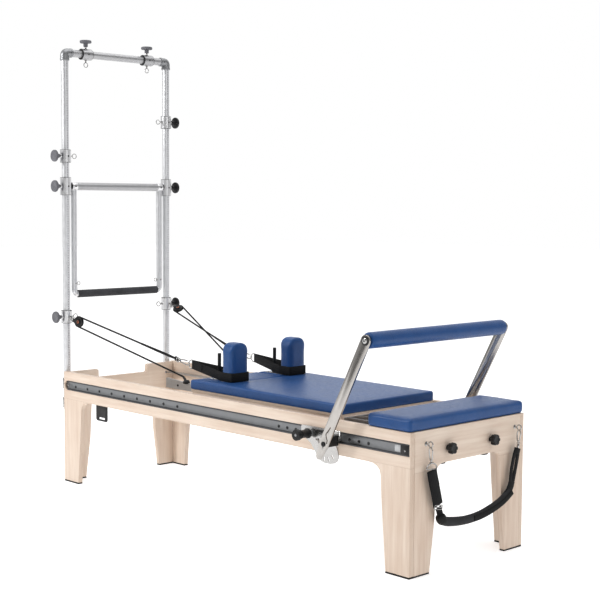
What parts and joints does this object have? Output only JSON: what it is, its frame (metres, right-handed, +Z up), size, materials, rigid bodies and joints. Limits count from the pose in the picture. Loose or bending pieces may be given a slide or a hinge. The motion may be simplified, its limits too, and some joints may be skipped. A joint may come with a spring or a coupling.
{
  "type": "pilates reformer",
  "caption": "Wooden pilates reformer with a tubular tower, push-through bar, sliding blue carriage, footbar, ropes and a foot strap.",
  "frame": {"origin": "middle of the machine's footprint, on the floor", "axes": "+X runs along the bed from the tower to the foot end, +Y to the far side, +Z up"},
  "size_m": [2.4994, 0.916, 2.304],
  "materials": {
    "maple": "satin clear lacquer on pale maple plywood",
    "blue_vinyl": "soft satin upholstery vinyl",
    "aluminium": "satin extruded",
    "anodised": "grey anodised channel",
    "stainless": "brushed stainless sheet",
    "chrome": "polished plating",
    "spring_steel": "drawn wire",
    "cast_grey": "grey cast fittings",
    "black_metal": "black powder coat",
    "black_plastic": "moulded black",
    "knob_grey": "moulded grey",
    "rubber": "matt",
    "foam": "closed-cell foam",
    "webbing": "woven black webbing",
    "rope": "braided black cord",
    "accent": "moulded orange accent",
    "label": "plain light sticker"
  },
  "bodies": {
    "bed": {"side_panel_near": "maple", "outer_track_near": "anodised", "inner_rail_near": "aluminium", "side_panel_far": "maple", "outer_track_far": "anodised", "inner_rail_far": "aluminium", "head_end_panel": "maple", "foot_end_panel": "maple", "foot_pad_head_near": "rubber", "foot_pad_head_far": "rubber", "foot_pad_foot_near": "rubber", "foot_pad_foot_far": "rubber", "foot_platform_pad": "blue_vinyl", "hanger_plate": "black_metal", "spring_bar": "black_metal", "spring_pack": "spring_steel", "upright_near": "aluminium", "tower_bracket_near": "cast_grey", "pulley_collar_near": "aluminium", "upright_far": "aluminium", "tower_bracket_far": "cast_grey", "pulley_collar_far": "aluminium", "top_bar": "aluminium", "rope_near": "rope", "pulley_block_near": "stainless", "rope_far": "rope", "pulley_block_far": "stainless"},
    "star_knob_near": {"star_knob_near": "black_plastic"},
    "eye_collar_near": {"eye_collar_near": "aluminium"},
    "top_collar_near": {"top_collar_near": "aluminium"},
    "pivot_knob_near": {"pivot_knob_near": "cast_grey"},
    "star_knob_far": {"star_knob_far": "black_plastic"},
    "eye_collar_far": {"eye_collar_far": "aluminium"},
    "top_collar_far": {"top_collar_far": "aluminium"},
    "pivot_knob_far": {"pivot_knob_far": "cast_grey"},
    "swing_carrier": {"pivot_collar_near": "aluminium", "pivot_collar_far": "aluminium"},
    "swing": {"swing_frame": "aluminium", "swing_grip": "foam"},
    "footbar_slider": {"footbar_bracket_near": "stainless", "footbar_bracket_far": "stainless"},
    "footbar": {"footbar_frame": "stainless", "footbar_pad": "blue_vinyl"},
    "lock_knob_near": {"lock_knob_near": "black_plastic"},
    "lock_knob_far": {"lock_knob_far": "black_plastic"},
    "carriage": {"carriage_base": "maple", "carriage_pad": "blue_vinyl", "shoulder_rest_near": "blue_vinyl", "shoulder_rest_far": "blue_vinyl", "shoulder_post_near": "stainless", "shoulder_post_far": "stainless", "strap_loop_near": "webbing", "strap_loop_far": "webbing"},
    "headrest": {"headrest": "blue_vinyl"},
    "wheels_front": {"wheel_set_front": "black_plastic"},
    "wheels_rear": {"wheel_set_rear": "black_plastic"},
    "sheave_near": {"sheave_near": "black_plastic"},
    "sheave_far": {"sheave_far": "black_plastic"},
    "foot_strap": {"foot_strap": "webbing"}
  },
  "joints": [
    {"name": "star_knob_turn_near", "type": "hinge", "parent": "bed", "child": "star_knob_near", "pos_m": [1.22274, -0.137, 0.494], "axis": [1, 0, 0], "continuous": true},
    {"name": "eye_collar_slide_near", "type": "slide", "parent": "bed", "child": "eye_collar_near", "axis": [0, 0, 1], "range_m": [-0.04, 0.45]},
    {"name": "top_collar_slide_near", "type": "slide", "parent": "bed", "child": "top_collar_near", "axis": [0, 1, 0], "range_m": [-0.05, 0.16]},
    {"name": "pivot_knob_turn_near", "type": "hinge", "parent": "swing_carrier", "child": "pivot_knob_near", "pos_m": [-1.22026, -0.385, 1.543], "axis": [0, -1, 0], "continuous": true},
    {"name": "star_knob_turn_far", "type": "hinge", "parent": "bed", "child": "star_knob_far", "pos_m": [1.22274, 0.137, 0.494], "axis": [1, 0, 0], "continuous": true},
    {"name": "eye_collar_slide_far", "type": "slide", "parent": "bed", "child": "eye_collar_far", "axis": [0, 0, 1], "range_m": [-0.24, 0.245]},
    {"name": "top_collar_slide_far", "type": "slide", "parent": "bed", "child": "top_collar_far", "axis": [0, 1, 0], "range_m": [-0.16, 0.05]},
    {"name": "pivot_knob_turn_far", "type": "hinge", "parent": "swing_carrier", "child": "pivot_knob_far", "pos_m": [-1.22026, 0.385, 1.543], "axis": [0, 1, 0], "continuous": true},
    {"name": "swing_carrier_slide", "type": "slide", "parent": "bed", "child": "swing_carrier", "axis": [0, 0, 1], "range_m": [-0.035, 0.03]},
    {"name": "swing_through", "type": "hinge", "parent": "swing_carrier", "child": "swing", "pos_m": [-1.22026, 0, 1.543], "axis": [0, 1, 0], "range_deg": [-143, 143]},
    {"name": "footbar_slide", "type": "slide", "parent": "bed", "child": "footbar_slider", "axis": [1, 0, 0], "range_m": [-0.212, 0.318]},
    {"name": "footbar_tilt", "type": "hinge", "parent": "footbar_slider", "child": "footbar", "pos_m": [0.81074, 0, 0.489], "axis": [0, 1, 0], "range_deg": [-75, 0]},
    {"name": "lock_knob_pull_near", "type": "slide", "parent": "footbar_slider", "child": "lock_knob_near", "axis": [0, -1, 0], "range_m": [0, 0.008], "stiffness_N_per_m": 3000},
    {"name": "lock_knob_pull_far", "type": "slide", "parent": "footbar_slider", "child": "lock_knob_far", "axis": [0, 1, 0], "range_m": [0, 0.008], "stiffness_N_per_m": 3000},
    {"name": "carriage_slide", "type": "slide", "parent": "bed", "child": "carriage", "axis": [1, 0, 0], "range_m": [-0.6, 0], "stiffness_N_per_m": 60, "deforming": ["rope_near", "rope_far", "spring_pack"]},
    {"name": "headrest_tilt", "type": "hinge", "parent": "carriage", "child": "headrest", "pos_m": [-0.03426, 0, 0.626], "axis": [0, 1, 0], "range_deg": [0, 32]},
    {"name": "wheels_roll_front", "type": "hinge", "parent": "carriage", "child": "wheels_front", "pos_m": [-0.04726, 0, 0.545], "axis": [0, 1, 0], "continuous": true},
    {"name": "wheels_roll_rear", "type": "hinge", "parent": "carriage", "child": "wheels_rear", "pos_m": [0.63274, 0, 0.545], "axis": [0, 1, 0], "continuous": true},
    {"name": "sheave_turn_near", "type": "hinge", "parent": "bed", "child": "sheave_near", "pos_m": [-1.10926, -0.326, 0.842], "axis": [-0.1906, 0.9817, 0.0012], "continuous": true},
    {"name": "sheave_turn_far", "type": "hinge", "parent": "bed", "child": "sheave_far", "pos_m": [-1.10926, 0.326, 0.876], "axis": [0.1495, -0.4522, 0.8793], "continuous": true},
    {"name": "foot_strap_swing", "type": "hinge", "parent": "bed", "child": "foot_strap", "pos_m": [1.23674, 0, 0.514], "axis": [0, 1, 0], "range_deg": [-50, 0]}
  ],
  "couplings": [
    {"joint": "wheels_roll_front", "follows": "carriage_slide", "rad_per_m": 41.667},
    {"joint": "wheels_roll_rear", "follows": "carriage_slide", "rad_per_m": 41.667}
  ]
}
